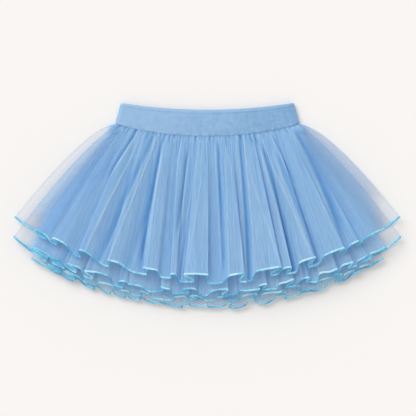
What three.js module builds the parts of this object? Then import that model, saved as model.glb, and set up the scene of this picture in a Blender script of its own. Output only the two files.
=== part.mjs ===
// Tulle skirt laid flat: a knit waistband, three gathered tulle layers, each inside the
// last, and a satin edging along the hem of each layer.
// Millimetres, +Z up. The waist points to +Y, the hem to -Y, and the front panel faces up.

import * as THREE from "three";

// Waistband, laid flat
const bandTopHalfWidth = 105.3;
const bandTopEndsY = 126;
const bandTopDip = 8.3;
const bandWall = 3;
const bandThickness = 7.6;
const bandCrown = 0.8;
const bandSideFold = 3;
const bandRows = [0, 0.16, 0.5, 0.84, 1];
const bandStationsAcross = 23;

// Seam between the waistband and the tulle
const seamHalfWidth = 112.4;
const seamEndsY = 100.4;
const seamDip = 15.8;
const seamDipPower = 0.85;
const seamGap = 0.3;

// Tulle walls and satin edging
const tulleWall = 1;
const edgingWidth = 3;
const edgingThickness = 1.6;
const edgingFloorClearance = 0.4;
const gatherSteepness = 0.42;
const gatherReach = 0.34;

// How the stack of plies opens from the seam to the hem: openHaste is how much sooner than
// evenly it gains its height
const openHaste = 0.6;
const bulgeShare = 0.3;
const bulgePower = 4;
const wavePower = 0.9;
const domeLoss = 0.55;
const domePower = 3;

const sideFoldAngles = [30, 60, 90];

// Folds crowd towards the sides at the seam and spread evenly along the hem
const seamCrowding = 0.42;

// Across a fold: the low stretch is deepest beside the raised one's outer edge, which is
// sharp, and the raised stretch slopes down to its inner edge. Shares of the full rise.
const lowMean = 0.12;
const lowLean = 0.22;
const highMean = 0.92;
const highLean = 0.16;
const leanFullAt = 60;

// A wall's first rim stays square to the seam where its upward share is above this
const squareBelow = 0.6;

const bandColor = 0x93b8dd;
const edgingColor = 0x5fb4da;

// Folds along a hem, from the left. Each is a low stretch and then a raised one, with their
// middles and widths, how far the hem reaches past its curve in the low one or stays short
// of it in the raised one, and how much of the full rise the raised one has.
const foldColumns = ["lowAt", "lowWide", "hemOut", "highAt", "highWide", "hemShort", "rise"];

const outerFrontFolds = foldTable([
  [-198, 5, -2, -184, 14, 5, 0.6],
  [-160, 10, 4, -149, 7, 6, 0.7],
  [-127, 10, 3, -113, 13, 6, 0.75],
  [-87, 17, 1, -67, 13, 8, 0.9],
  [-53, 12, 1, -40, 6, 4, 0.75],
  [-29, 17, 4, -11, 26, 7, 1],
  [12, 16, 6, 34, 14, 5, 0.85],
  [49, 13, 6, 73, 28, 7, 1],
  [84, 9, 3, 95, 8, 2, 0.7],
  [106, 9, 6, 119, 17, 6, 0.9],
  [133, 12, 5, 156, 21, 4, 0.95],
  [162, 7, 7, 176, 10, 3, 0.7],
  [186, 5, 5, 199, 20, 2, 0.6],
]);

const middleFrontFolds = foldTable([
  [-200, 8, 2, -190, 8, 3, 0.5],
  [-183, 7, 2, -169, 16, 6, 0.8],
  [-153, 11, 2, -134, 23, 6, 0.9],
  [-112, 11, 4, -103, 8, 4, 0.7],
  [-96, 4, -1, -87, 14, 4, 0.7],
  [-68, 18, 2, -49, 12, 4, 0.8],
  [-34, 16, 3, -20, 12, 5, 0.8],
  [-8, 9, 3, 14, 18, 5, 0.9],
  [32, 11, 5, 48, 16, 2, 0.7],
  [57, 4, -2, 65, 9, 7, 0.9],
  [78, 12, 2, 93, 14, 6, 0.9],
  [104, 12, 4, 118, 10, 4, 0.8],
  [131, 11, 4, 146, 19, 5, 1],
  [160, 5, 3, 171, 17, 3, 0.8],
  [184, 7, 4, 194, 10, 3, 0.5],
]);

const underFrontFolds = foldTable([
  [-186, 10, 3, -170, 13, 4, 0.7],
  [-153, 14, 2, -120, 15, 4, 0.9],
  [-108, 6, 4, -99, 6, 2, 0.6],
  [-90, 9, 3, -75, 9, 4, 0.8],
  [-55, 24, 3, -32, 9, 3, 0.7],
  [-21, 9, 2, -11, 12, 4, 0.8],
  [4, 14, 2, 20, 10, 3, 0.7],
  [35, 10, 3, 51, 12, 4, 0.9],
  [62, 5, 2, 78, 21, 3, 1],
  [93, 6, 3, 104, 13, 4, 0.8],
  [123, 14, 4, 150, 22, 4, 1],
  [166, 7, 3, 176, 8, 3, 0.6],
]);

const outerBackFolds = foldTable([
  [-186, 16, 3, -165, 14, 3, 1],
  [-146, 15, 4, -128, 12, 4, 1],
  [-110, 14, 2, -92, 12, 3, 1],
  [-74, 17, 4, -54, 13, 4, 1],
  [-37, 13, 3, -21, 11, 3, 1],
  [-3, 16, 3, 17, 14, 4, 1],
  [35, 13, 2, 52, 13, 3, 1],
  [70, 14, 4, 88, 12, 4, 1],
  [105, 13, 3, 122, 14, 3, 1],
  [141, 14, 3, 158, 12, 4, 1],
  [174, 12, 4, 190, 12, 3, 1],
]);

const middleBackFolds = foldTable([
  [-190, 13, 2, -174, 11, 3, 0.8],
  [-156, 14, 3, -138, 12, 4, 1],
  [-119, 16, 4, -100, 13, 3, 0.9],
  [-82, 13, 2, -65, 12, 4, 1],
  [-46, 15, 3, -27, 13, 3, 0.8],
  [-9, 13, 3, 8, 12, 4, 1],
  [27, 16, 4, 47, 14, 3, 0.9],
  [65, 13, 2, 82, 12, 4, 1],
  [99, 13, 3, 116, 13, 3, 0.9],
  [134, 14, 4, 152, 12, 4, 1],
  [169, 12, 3, 185, 12, 3, 0.8],
]);

const underBackFolds = foldTable([
  [-172, 9, 2, -163, 7, 3, 0.7],
  [-147, 17, 2, -136, 7, 2, 0.8],
  [-126, 11, 2, -117, 5, 3, 0.7],
  [-108, 13, 1, -99, 5, 2, 0.8],
  [-90, 11, 1, -82, 6, 3, 0.9],
  [-71, 15, 1, -60, 7, 2, 0.8],
  [-42, 24, 2, -27, 7, 3, 1],
  [-14, 18, 1, -2, 6, 2, 0.8],
  [11, 20, 1, 25, 6, 3, 0.9],
  [39, 19, 3, 55, 9, 5, 1],
  [73, 20, 1, 89, 8, 3, 0.9],
  [104, 20, 1, 120, 9, 3, 1],
  [140, 17, 2, 153, 7, 2, 0.8],
  [168, 18, 2, 182, 7, 3, 0.7],
]);

// The three layers, from the outside in. tip is where the side folds end, hemDepth is how
// far the middle of the hem lies below the tips, and sideControl steers the side outline.
// The heights are those of the middle of each ply: at the seam, at the hem when the stack
// is flat, and at the hem when it stands fully open.
const layers = [
  {
    name: "outer",
    tip: { x: 237.5, y: -13 },
    hemDepth: 77,
    hemPower: 0.9,
    backReach: 4,
    seamInset: 0,
    sideControl: { x: 146, y: 101 },
    sideFold: { seam: 4.5, hem: 25 },
    rows: [0, 0.06, 0.15, 0.3, 0.5, 0.7, 0.86, 1],
    stationsPerStretch: { front: 3, back: 2 },
    front: { folds: outerFrontFolds, seam: 7.3, flat: 10.7, open: 27.5, rise: 9, gathers: true },
    back: { folds: outerBackFolds, seam: 0.5, flat: 0.5, open: 0.5, rise: 0, gathers: false },
    color: 0x9cc4ec,
  },
  {
    name: "middle",
    tip: { x: 239, y: -37 },
    hemDepth: 70,
    hemPower: 0.8,
    backReach: 4,
    seamInset: 1.5,
    sideControl: { x: 157, y: 74 },
    sideFold: { seam: 3.2, hem: 22 },
    rows: [0, 0.14, 0.38, 0.64, 0.85, 1],
    stationsPerStretch: { front: 2, back: 2 },
    front: { folds: middleFrontFolds, seam: 6, flat: 8.8, open: 18, rise: 6.5, gathers: false },
    back: { folds: middleBackFolds, seam: 1.8, flat: 3.1, open: 3.1, rise: 1.2, gathers: false },
    color: 0x8db9e6,
  },
  {
    name: "under",
    tip: { x: 218, y: -64 },
    hemDepth: 51,
    hemPower: 0.9,
    backReach: 9,
    seamInset: 3,
    sideControl: { x: 156, y: 60 },
    sideFold: { seam: 1.8, hem: 20 },
    rows: [0, 0.14, 0.38, 0.64, 0.85, 1],
    stationsPerStretch: { front: 2, back: 2 },
    front: { folds: underFrontFolds, seam: 4.7, flat: 6.9, open: 10.6, rise: 5, gathers: false },
    back: { folds: underBackFolds, seam: 3.1, flat: 5, open: 6, rise: 2.5, gathers: false },
    color: 0x7faedf,
  },
];

function foldTable(rows) {
  return rows.map((row) => Object.fromEntries(foldColumns.map((column, k) => [column, row[k]])));
}

function mix(a, b, share) {
  return a + (b - a) * share;
}

// Height of the seam line above the side corners' level, at a share of the half width
function seamY(share) {
  return seamEndsY - seamDip * Math.max(0, 1 - share * share) ** seamDipPower;
}

// Hem curve of a layer: level with the tips at the sides, lowest in the middle
function hemY(layer, side, x) {
  const share = Math.min(1, Math.abs(x) / layer.tip.x);
  const reach = side === layer.back ? layer.backReach * (1 - share ** 2) : 0;
  return layer.tip.y - layer.hemDepth * (1 - share * share) ** layer.hemPower - reach;
}

// Height of a ply at the hem: the stack opens in the middle and flattens to the sides
function openHeight(layer, side, x) {
  const dome = 1 - domeLoss * Math.min(1, Math.abs(x) / layer.tip.x) ** domePower;
  return { base: mix(side.flat, side.open, dome), rise: side.rise * dome };
}

// One line of points runs from the seam to the hem: where it starts, where it ends, its
// height at both, and how far it is lifted as part of a raised stretch
function station(layer, side, hemX, seamX, hemShift, lift, gather) {
  const height = openHeight(layer, side, hemX);
  return {
    seam: { x: seamX, y: seamY(seamX / seamHalfWidth) - seamGap, z: side.seam },
    hem: { x: hemX, y: hemY(layer, side, hemX) + hemShift, z: height.base },
    lift: lift * height.rise,
    gather,
  };
}

// The stations of all folds of one side, from the left, evenly spaced along the seam
// within each fold and following the fold table along the hem
function foldStations(layer, side) {
  const hemEnd = layer.tip.x - layer.sideFold.hem;
  const seamEnd = seamHalfWidth - layer.seamInset - layer.sideFold.seam;
  const perStretch = side === layer.front ? layer.stationsPerStretch.front : layer.stationsPerStretch.back;
  const folds = side.folds;
  const border = (k) => {
    if (k === 0) return -hemEnd;
    if (k === folds.length) return hemEnd;
    const before = folds[k - 1].highAt + folds[k - 1].highWide / 2;
    const after = folds[k].lowAt - folds[k].lowWide / 2;
    return (before + after) / 2;
  };
  const seamAt = (hemX) => {
    const share = hemX / hemEnd;
    return seamEnd * share * (1 + seamCrowding * (1 - share * share));
  };
  const stations = [];
  folds.forEach((fold, k) => {
    const count = perStretch * 2;
    const start = seamAt(border(k));
    const spacing = (seamAt(border(k + 1)) - start) / count;
    for (let n = 0; n < count; n += 1) {
      const raised = n >= perStretch;
      const place = (n % perStretch) / (perStretch - 1) - 0.5;
      const middle = raised ? fold.highAt : fold.lowAt;
      const width = raised ? fold.highWide : fold.lowWide;
      const lean = place * THREE.MathUtils.clamp(middle / leanFullAt, -1, 1);
      const lift = fold.rise * (raised ? highMean + highLean * lean : lowMean + lowLean * lean);
      const shift = raised ? fold.hemShort : -fold.hemOut;
      const gather = side.gathers && n % 2 === 1 ? gatherSteepness * spacing : 0;
      const seamX = start + (n + 0.5) * spacing;
      stations.push(station(layer, side, middle + place * width, seamX, shift, lift, gather));
    }
  });
  return stations;
}

// A station on the rounded side fold, from 0 degrees at the tip to 90 where a side starts
function sideStation(layer, direction, side, degrees) {
  const angle = THREE.MathUtils.degToRad(degrees);
  const seamEnd = seamHalfWidth - layer.seamInset;
  const inset = 1 - Math.cos(angle);
  const hemX = layer.tip.x - layer.sideFold.hem * inset;
  const seamX = seamEnd - layer.sideFold.seam * inset;
  const result = station(layer, side, direction * hemX, direction * seamX, 0, 0, 0);
  const foldStart = layer.tip.x - layer.sideFold.hem;
  const top = openHeight(layer, layer.front, foldStart).base;
  const bottom = openHeight(layer, layer.back, foldStart).base;
  const up = side === layer.front ? Math.sin(angle) : -Math.sin(angle);
  result.hem.z = mix(bottom, top, 0.5 + up / 2);
  result.seam.z = mix(layer.back.seam, layer.front.seam, 0.5 + up / 2);
  result.seam.y -= (tulleWall / 2) * Math.cos(angle);
  return result;
}

// All stations of a layer in order: over the front to the right, under the back to the left
function layerStations(layer) {
  const { front, back } = layer;
  const rising = [...sideFoldAngles];
  const falling = [...sideFoldAngles].reverse();
  return [
    sideStation(layer, -1, front, 0),
    ...rising.map((angle) => sideStation(layer, -1, front, angle)),
    ...foldStations(layer, front),
    ...falling.map((angle) => sideStation(layer, 1, front, angle)),
    sideStation(layer, 1, front, 0),
    ...rising.map((angle) => sideStation(layer, 1, back, angle)),
    ...foldStations(layer, back).reverse(),
    ...falling.map((angle) => sideStation(layer, -1, back, angle)),
  ];
}

// Point of a station at a share of its length: the plan is a curve that leaves the seam
// sideways near the side folds, and the height grows quickly below the waistband
function stationPoint(layer, line, share) {
  const side = Math.abs(line.hem.x) / layer.tip.x;
  const straightX = mix(line.seam.x, line.hem.x, bulgeShare);
  const straightY = mix(line.seam.y, line.hem.y, bulgeShare);
  const seamEnd = seamHalfWidth - layer.seamInset;
  const sideStraightX = mix(seamEnd, layer.tip.x, bulgeShare);
  const sideStraightY = mix(seamEndsY, layer.tip.y, bulgeShare);
  const bulge = side ** bulgePower;
  const controlX = straightX + Math.sign(line.hem.x) * bulge * (layer.sideControl.x - sideStraightX);
  const controlY = straightY + bulge * (layer.sideControl.y - sideStraightY);
  const start = (1 - share) ** 2;
  const middle = 2 * share * (1 - share);
  const end = share ** 2;
  const open = share * (1 + openHaste * (1 - share));
  const gather = line.gather * Math.max(0, 1 - share / gatherReach) ** 2;
  return new THREE.Vector3(
    start * line.seam.x + middle * controlX + end * line.hem.x,
    start * line.seam.y + middle * controlY + end * line.hem.y,
    mix(line.seam.z, line.hem.z, open) + line.lift * share ** wavePower + gather,
  );
}

// Turns a grid of middle points, a list of rows that each close on themselves, into a wall
// of even thickness with its two rims
function closedWall(rows, normals, thickness) {
  const count = rows[0].length;
  const positions = [];
  [1, -1].forEach((face) => {
    rows.forEach((row, r) => {
      row.forEach((point, c) => {
        const moved = point.clone().addScaledVector(normals[r][c], (face * thickness) / 2);
        positions.push(moved.x, moved.y, moved.z);
      });
    });
  });
  const outer = (r, c) => r * count + (c % count);
  const inner = (r, c) => rows.length * count + r * count + (c % count);
  const faces = [];
  const quad = (a, b, c, d) => faces.push(a, b, c, a, c, d);
  for (let c = 0; c < count; c += 1) {
    for (let r = 0; r < rows.length - 1; r += 1) {
      quad(outer(r, c), outer(r + 1, c), outer(r + 1, c + 1), outer(r, c + 1));
      quad(inner(r, c), inner(r, c + 1), inner(r + 1, c + 1), inner(r + 1, c));
    }
    const last = rows.length - 1;
    quad(outer(0, c), outer(0, c + 1), inner(0, c + 1), inner(0, c));
    quad(outer(last, c), inner(last, c), inner(last, c + 1), outer(last, c + 1));
  }
  const geometry = new THREE.BufferGeometry();
  geometry.setAttribute("position", new THREE.Float32BufferAttribute(positions, 3));
  geometry.setIndex(faces);
  geometry.computeVertexNormals();
  return geometry;
}

// Outward directions of a grid of points. At the seam they stay square to it wherever the
// wall lies flat enough.
function surfaceNormals(rows) {
  const normals = rows.map((row, r) => {
    const above = rows[Math.max(0, r - 1)];
    const below = rows[Math.min(rows.length - 1, r + 1)];
    return row.map((point, c) => {
      const before = row[(c + row.length - 1) % row.length];
      const after = row[(c + 1) % row.length];
      const down = below[c].clone().sub(above[c]);
      const acrossBefore = point.clone().sub(before).normalize();
      const acrossAfter = after.clone().sub(point).normalize();
      return down.cross(acrossBefore.add(acrossAfter)).normalize();
    });
  });
  normals[0].forEach((normal) => {
    if (Math.abs(normal.z) > squareBelow) normal.setY(0).normalize();
  });
  return normals;
}

// A layer of tulle and its satin edging share one surface: the tulle is cut short of the
// hem line by half the edging and the gap, and the edging carries on from there
function layerPieces(layer) {
  const lines = layerStations(layer);
  const rows = layer.rows.map((share) => lines.map((line) => stationPoint(layer, line, share)));
  const hemRow = rows.length - 1;
  const hem = rows[hemRow].map((point) => point.clone());
  const along = hem.map((point, c) => point.clone().sub(rows[hemRow - 1][c]).normalize());
  const shifted = (distance) => hem.map((point, c) => point.clone().addScaledVector(along[c], distance));
  rows[hemRow] = shifted(-(edgingWidth / 2 + seamGap));
  const normals = surfaceNormals(rows);
  const lowest = edgingFloorClearance + edgingThickness / 2;
  const strip = [-1, 1].map((side) => shifted((side * edgingWidth) / 2));
  strip.flat().forEach((point) => point.setZ(Math.max(point.z, lowest)));
  const edgingWall = closedWall(strip, [normals[hemRow], normals[hemRow]], edgingThickness);
  return [
    named(`tulle_${layer.name}`, closedWall(rows, normals, tulleWall), layer.color, 0.85),
    named(`edging_${layer.name}`, edgingWall, edgingColor, 0.35),
  ];
}

// Waistband: a flattened loop whose front and back are curved alike in plan
function waistband() {
  const half = (bandStationsAcross - 1) / 2;
  const across = Array.from({ length: bandStationsAcross }, (unused, k) => (k - half) / half);
  const heightFront = bandThickness - bandWall / 2;
  const heightBack = bandWall / 2;
  const rows = bandRows.map((share) => {
    const halfWidth = mix(bandTopHalfWidth, seamHalfWidth, share);
    const crown = bandCrown * Math.sin(Math.PI * share);
    const point = (x, up) => {
      const part = x / halfWidth;
      const top = bandTopEndsY - bandTopDip * (1 - part * part);
      const y = mix(top, seamY(part), share);
      const front = heightFront + crown * Math.max(0, 1 - part * part);
      return new THREE.Vector3(x, y, mix(heightBack, front, 0.5 + up / 2));
    };
    const flatEnd = halfWidth - bandSideFold;
    const sidePoint = (direction, degrees) => {
      const angle = THREE.MathUtils.degToRad(degrees);
      return point(direction * (flatEnd + bandSideFold * Math.cos(angle)), Math.sin(angle));
    };
    return [
      ...[0, 30, 60].map((angle) => sidePoint(-1, angle)),
      ...across.map((part) => point(part * flatEnd, 1)),
      ...[60, 30, 0, -30, -60].map((angle) => sidePoint(1, angle)),
      ...across.map((part) => point(-part * flatEnd, -1)),
      ...[-60, -30].map((angle) => sidePoint(-1, angle)),
    ];
  });
  return named("waistband", closedWall(rows, surfaceNormals(rows), bandWall), bandColor, 0.9);
}

function named(name, geometry, color, roughness) {
  const material = new THREE.MeshStandardMaterial({ color, roughness, metalness: 0 });
  const mesh = new THREE.Mesh(geometry, material);
  mesh.name = name;
  return mesh;
}

const skirt = new THREE.Group();
skirt.add(waistband());
layers.forEach((layer) => skirt.add(...layerPieces(layer)));

// The origin is under the middle of the laid-out skirt
const extent = new THREE.Box3().setFromObject(skirt, true);
const centre = extent.getCenter(new THREE.Vector3());
skirt.position.set(-centre.x, -centre.y, -extent.min.z);

export default skirt;
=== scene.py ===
# A child's tulle skirt laid flat, front up: a knit waistband, three gathered layers of
# tulle, each inside the last, and a satin edging along the hem of each.
# Shapes are worked out in millimetres and put into the meshes in metres.
import bpy
import numpy as np
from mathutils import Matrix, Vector


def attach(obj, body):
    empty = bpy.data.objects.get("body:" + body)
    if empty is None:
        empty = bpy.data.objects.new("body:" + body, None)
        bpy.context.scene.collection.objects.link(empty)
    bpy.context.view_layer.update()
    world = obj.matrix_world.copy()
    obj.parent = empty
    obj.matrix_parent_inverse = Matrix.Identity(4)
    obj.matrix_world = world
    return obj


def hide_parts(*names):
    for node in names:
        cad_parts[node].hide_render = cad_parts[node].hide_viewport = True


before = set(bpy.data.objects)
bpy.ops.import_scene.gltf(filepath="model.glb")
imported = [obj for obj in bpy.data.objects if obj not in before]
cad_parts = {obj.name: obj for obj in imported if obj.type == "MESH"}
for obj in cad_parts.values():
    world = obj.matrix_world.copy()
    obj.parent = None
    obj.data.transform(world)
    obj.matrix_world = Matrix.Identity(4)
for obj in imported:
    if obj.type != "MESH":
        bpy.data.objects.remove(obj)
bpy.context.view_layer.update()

mm = 0.001

# Seam between waistband and tulle, and how the drawing sits in the frame
seam = dict(halfWidth=112.4, endsY=100.4, dip=15.8, dipPower=0.85, gap=0.3)
frameShiftY = 0.55  # the solids' box is centred on the origin, which moves the drawing up


def mix(a, b, share):
    return a + (b - a) * share


def smoothStep(low, high, value):
    # 0 below low, 1 above high, an s-curve between
    t = np.clip((value - low) / (high - low), 0, 1)
    return t * t * (3 - 2 * t)


def bell(distance, width):
    # 1 in the middle, falling to 0.37 one width away
    return np.exp(-((distance / width) ** 2))


def unit(vectors):
    # each vector divided by its length
    return vectors / np.linalg.norm(vectors, axis=-1, keepdims=True)


def namedColumns(columns, rows):
    # each column of a short table as an array under its name
    values = np.array(rows, dtype=float)
    return {name: values[:, k] for k, name in enumerate(columns)}


def seamLineY(share):
    # the seam is level at its ends and dips in the middle, by a power of 1 - share squared
    return seam["endsY"] - seam["dip"] * np.clip(1 - share**2, 0, 1) ** seam["dipPower"]


def evenNoise(count, knots, seed):
    # random heights from -1 to 1 at evenly spaced knots of a closed line, joined by half
    # cosine waves, read at count places
    heights = np.random.default_rng(seed).uniform(-1, 1, knots)
    place = np.arange(count) * knots / count
    knot = place.astype(int)
    share = (1 - np.cos(np.pi * (place - knot))) / 2
    return mix(heights[knot], heights[(knot + 1) % knots], share)


# Meshes

def addObject(name, data):
    thing = bpy.data.objects.new(name, data)
    bpy.context.scene.collection.objects.link(thing)
    return thing


def gridMesh(name, points, closedDown, uv, attributes):
    # points is rows x columns x 3 in millimetres. The columns close on themselves, and the
    # rows too where closedDown is set. uv is (rows + 1 or rows) x (columns + 1) x 2, metres.
    rows, columns = points.shape[:2]
    bands = rows if closedDown else rows - 1
    r, c = np.meshgrid(np.arange(bands), np.arange(columns), indexing="ij")
    corners = [(r, c), (r + 1, c), (r + 1, c + 1), (r, c + 1)]
    vertexIndex = np.stack([(a % rows) * columns + b % columns for a, b in corners], axis=-1)
    cornerUv = np.stack([uv[a, b] for a, b in corners], axis=-2)
    mesh = bpy.data.meshes.new(name)
    mesh.vertices.add(rows * columns)
    placed = (points + (0, frameShiftY, 0)) * mm
    mesh.vertices.foreach_set("co", placed.astype(np.float32).ravel())
    mesh.loops.add(vertexIndex.size)
    mesh.loops.foreach_set("vertex_index", vertexIndex.astype(np.int32).ravel())
    mesh.polygons.add(bands * columns)
    starts = np.arange(bands * columns, dtype=np.int32) * 4
    mesh.polygons.foreach_set("loop_start", starts)
    layer = mesh.uv_layers.new(name="cloth")
    layer.data.foreach_set("uv", cornerUv.astype(np.float32).ravel())
    for key, values in attributes.items():
        attribute = mesh.attributes.new(key, "FLOAT", "POINT")
        attribute.data.foreach_set("value", values.astype(np.float32).ravel())
    mesh.update(calc_edges=True)
    mesh.validate()
    mesh.shade_smooth()
    return addObject(name, mesh)


def clothUv(rowPlaces, columns, length):
    # u runs along the hem and v down the cloth, both in metres
    u = np.arange(columns + 1) * length / columns
    return np.stack(np.broadcast_arrays(u[None, :], rowPlaces[:, None]), axis=-1) * mm


# Materials

def srgb(red, green, blue):
    # a colour of 0 to 255 as the linear colour that a socket takes
    value = np.array([red, green, blue]) / 255
    linear = np.where(value <= 0.04045, value / 12.92, ((value + 0.055) / 1.055) ** 2.4)
    return (*linear.tolist(), 1)


def addNode(tree, kind, values=None, **settings):
    # each value is a number or colour for that socket, or the output that feeds it
    node = tree.nodes.new("ShaderNode" + kind)
    for name, setting in settings.items():
        setattr(node, name, setting)
    for name, value in (values or {}).items():
        if isinstance(value, bpy.types.NodeSocket):
            tree.links.new(value, node.inputs[name])
        else:
            node.inputs[name].default_value = value
    return node


def calc(tree, operation, *values, clamp=False):
    node = addNode(tree, "Math", dict(enumerate(values)), operation=operation, use_clamp=clamp)
    return node.outputs[0]


def weighted(tree, start, *terms):
    # start plus each output times its weight
    total = start
    for output, weight in terms:
        total = calc(tree, "MULTIPLY_ADD", output, weight, total)
    return total


def attributeOf(tree, name):
    return addNode(tree, "Attribute", attribute_name=name).outputs["Fac"]


def noiseOn(tree, vector, scale, stretch, detail=2.0, roughness=0.55):
    # noise about 0, from -0.5 to 0.5, in cells of 1 / scale metres, stretched per axis
    placed = addNode(tree, "Mapping", {"Vector": vector, "Scale": stretch}).outputs[0]
    values = {"Vector": placed, "Scale": scale, "Detail": detail, "Roughness": roughness}
    noise = addNode(tree, "TexNoise", values).outputs["Fac"]
    return calc(tree, "SUBTRACT", noise, 0.5)


def colourBetween(tree, share, *colours):
    # the colours at even places from 0 to 1, read at share
    ramp = addNode(tree, "ValToRGB", {"Fac": share})
    elements = ramp.color_ramp.elements
    while len(elements) < len(colours):
        elements.new(0.5)
    for k, colour in enumerate(colours):
        elements[k].position = k / (len(colours) - 1)
        elements[k].color = colour
    return ramp.outputs["Color"]


def newMaterial(name):
    material = bpy.data.materials.new(name)
    material.use_nodes = True
    material.node_tree.nodes.clear()
    return material, material.node_tree


def endMaterial(tree, values):
    surface = addNode(tree, "BsdfPrincipled", values)
    addNode(tree, "OutputMaterial", {"Surface": surface.outputs[0]})


tulleLook = dict(
    # valley and crest are the painted shade and painted highlight colours at the ends of the tone, body the
    # cloth's own blue between them
    valley=srgb(80, 152, 215),
    body=srgb(158, 205, 245),
    crest=srgb(196, 229, 252),
    sheer=srgb(122, 144, 186),   # a single ply over the pale floor is greyer: partly the thin cloth's own colour, partly painted shade of the floor seen through it
    sheerBelow=0.28,             # the cover under which it does
    meshPitch=1.0 * mm,   # distance of the net's holes
    meshDepth=0.14,       # how much thinner the cover is in a hole
    streak=0.2,
    glow=0.28,            # light that passes through a ply
    roughness=0.85,
)


def tulleMaterial():
    material, tree = newMaterial("blue_tulle_net")
    uv = addNode(tree, "UVMap", uv_map="cloth").outputs[0]
    tone = attributeOf(tree, "tone")
    cover = attributeOf(tree, "cover")
    # threads run down the cloth: long thin streaks, and finer ones among them
    streaks = noiseOn(tree, uv, 1, (420, 14, 1), 3.0)
    fineStreaks = noiseOn(tree, uv, 1, (1100, 60, 1), 2.0)
    cloudy = noiseOn(tree, uv, 1, (55, 40, 1), 2.0)
    bothStreaks = calc(tree, "ADD", streaks, calc(tree, "MULTIPLY", fineStreaks, 0.8))
    # the tone brings painted shade and light; the streaks and clouds are the cloth's own
    shade = weighted(tree, 0.5, (tone, 0.5), (bothStreaks, tulleLook["streak"]), (cloudy, 0.1))
    gathered = colourBetween(tree, shade, tulleLook["valley"], tulleLook["body"], tulleLook["crest"])
    dense = attributeOf(tree, "dense")
    blend = addNode(tree, "MixRGB", {"Fac": dense, "Color1": tulleLook["sheer"], "Color2": gathered})
    colour = blend.outputs[0]
    # the net: three sets of waves at 60 degrees meet in a lattice of holes
    waves = []
    for turn in (0, 60, 120):
        angle = np.radians(turn)
        reach = 2 * np.pi / tulleLook["meshPitch"]
        direction = (np.cos(angle) * reach, np.sin(angle) * reach, 0)
        across = addNode(tree, "VectorMath", {0: uv, 1: direction}, operation="DOT_PRODUCT")
        waves.append(calc(tree, "COSINE", across.outputs["Value"]))
    lattice = calc(tree, "ADD", calc(tree, "ADD", waves[0], waves[1]), waves[2])
    holes = calc(tree, "MULTIPLY", lattice, -tulleLook["meshDepth"])
    wavy = calc(tree, "ADD", holes, calc(tree, "MULTIPLY", bothStreaks, 0.5))
    alpha = calc(tree, "MULTIPLY", cover, calc(tree, "ADD", wavy, 1.0), clamp=True)
    bump = addNode(tree, "Bump", {"Height": bothStreaks, "Strength": 0.25, "Distance": 0.3 * mm})
    values = {
        "Base Color": colour,
        "Roughness": tulleLook["roughness"],
        "Sheen Weight": 0.25,
        "Sheen Roughness": 0.4,
        "Specular IOR Level": 0.2,
        "Normal": bump.outputs[0],
    }
    threads = addNode(tree, "BsdfPrincipled", values)
    through = addNode(tree, "BsdfTranslucent", {"Color": colour})
    cloth = addNode(tree, "MixShader", {0: tulleLook["glow"], 1: threads.outputs[0], 2: through.outputs[0]})
    clear = addNode(tree, "BsdfTransparent")
    seen = addNode(tree, "MixShader", {0: alpha, 1: clear.outputs[0], 2: cloth.outputs[0]})
    addNode(tree, "OutputMaterial", {"Surface": seen.outputs[0]})
    return material


satinLook = dict(
    # dark and light are the painted shade and painted highlight colours at the ends of the tone
    dark=srgb(58, 158, 208),
    body=srgb(112, 202, 238),
    light=srgb(192, 240, 254),
    roughness=0.3,
    coat=0.35,
)


def satinMaterial():
    material, tree = newMaterial("aqua_satin_edging")
    uv = addNode(tree, "UVMap", uv_map="cloth").outputs[0]
    tone = attributeOf(tree, "tone")
    # patches and glints are painted sheen along the satin, broad and fine; threads are its weave
    patches = noiseOn(tree, uv, 1, (90, 30, 1), 2.0)
    glints = noiseOn(tree, uv, 1, (330, 60, 1), 2.0)
    threads = noiseOn(tree, uv, 1, (500, 4000, 1), 1.0)
    shade = weighted(tree, 0.5, (tone, 0.5), (patches, 0.5), (glints, 0.9), (threads, 0.15))
    bump = addNode(tree, "Bump", {"Height": threads, "Strength": 0.3, "Distance": 0.1 * mm})
    values = {
        "Base Color": colourBetween(tree, shade, satinLook["dark"], satinLook["body"], satinLook["light"]),
        "Roughness": satinLook["roughness"],
        "Coat Weight": satinLook["coat"],
        "Coat Roughness": 0.25,
        "Sheen Weight": 0.2,
        "Normal": bump.outputs[0],
    }
    endMaterial(tree, values)
    return material


knitLook = dict(
    # dark and light are the ends of the tone, reached by the knit's own mottle and by painted light and
    # shade
    dark=srgb(96, 146, 196),
    body=srgb(150, 187, 223),
    light=srgb(172, 205, 234),
    wale=0.9 * mm,        # distance of the knit's upright ribs
    course=0.7 * mm,      # distance of its rows
    roughness=0.9,
)


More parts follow.
